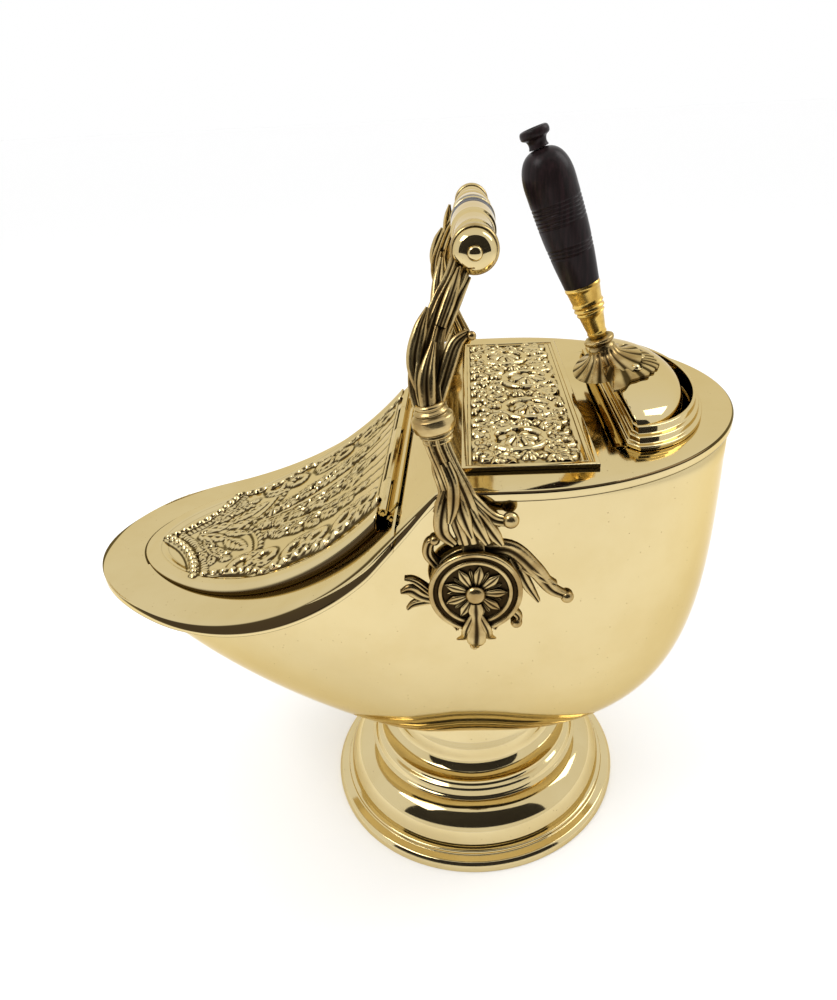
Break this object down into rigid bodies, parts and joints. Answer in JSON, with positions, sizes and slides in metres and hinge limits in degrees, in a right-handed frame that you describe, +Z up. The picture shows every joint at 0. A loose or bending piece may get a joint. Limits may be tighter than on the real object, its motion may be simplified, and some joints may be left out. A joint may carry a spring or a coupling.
{
  "type": "coal scuttle",
  "caption": "Helmet-shaped coal scuttle in polished brass on a spun foot, with a hinged embossed lid, a swinging bail handle and a lift-out shovel that stands in a slot in the deck.",
  "frame": {"origin": "under the middle of the whole length and width, on the floor", "axes": "+X from the lip to the rear, +Y to the far side, +Z up"},
  "size_m": [0.4724, 0.3304, 0.5268],
  "materials": {
    "polished_brass": "polished",
    "gilt_brass": "polished",
    "cast_brass": "antiqued satin",
    "steel": "satin",
    "ebonised_wood": "ebonised, waxed"
  },
  "bodies": {
    "scuttle": {"foot": "polished_brass", "foot_bolt": "steel", "foot_washer": "steel", "foot_nut": "steel", "body_shell": "polished_brass", "mouth_rim": "polished_brass", "deck_plate": "polished_brass", "panel_frame": "polished_brass", "deck_panel": "polished_brass", "slot_moulding": "polished_brass", "shovel_pocket": "polished_brass", "escutcheon_near": "cast_brass", "escutcheon_far": "cast_brass", "roundel_near": "cast_brass", "roundel_far": "cast_brass", "pivot_stud_near": "cast_brass", "pivot_stud_far": "cast_brass", "pivot_nut_near": "steel", "pivot_nut_far": "steel", "deck_hinge_leaf": "polished_brass", "hinge_pin": "polished_brass"},
    "lid": {"lid_panel": "polished_brass", "lid_hinge_leaf": "polished_brass"},
    "bail": {"bail_arm_near": "cast_brass", "bail_arm_far": "cast_brass", "grip_rod": "steel", "grip_band": "polished_brass", "grip_collar_near": "ebonised_wood", "grip_collar_far": "ebonised_wood", "grip_sleeve_near": "polished_brass", "grip_sleeve_far": "polished_brass", "grip_cap_near": "polished_brass", "grip_cap_far": "polished_brass", "grip_screw_near": "polished_brass", "grip_screw_far": "polished_brass"},
    "shovel": {"shovel_blade": "polished_brass", "shovel_socket": "cast_brass", "shovel_rivet_1": "polished_brass", "shovel_rivet_2": "polished_brass", "shovel_rivet_3": "polished_brass", "shovel_ferrule": "gilt_brass", "shovel_tang": "steel", "shovel_handle": "ebonised_wood", "shovel_finial": "ebonised_wood"}
  },
  "joints": [
    {"name": "lid_hinge", "type": "hinge", "parent": "scuttle", "child": "lid", "pos_m": [0.00025, 0, 0.3195], "axis": [0, 1, 0], "range_deg": [0, 115]},
    {"name": "bail_hinge", "type": "hinge", "parent": "scuttle", "child": "bail", "pos_m": [0.05575, 0, 0.292], "axis": [0, 1, 0], "range_deg": [-80, 6]},
    {"name": "shovel_lift", "type": "slide", "parent": "scuttle", "child": "shovel", "axis": [0, 0, 1], "range_m": [0, 0.17]}
  ]
}
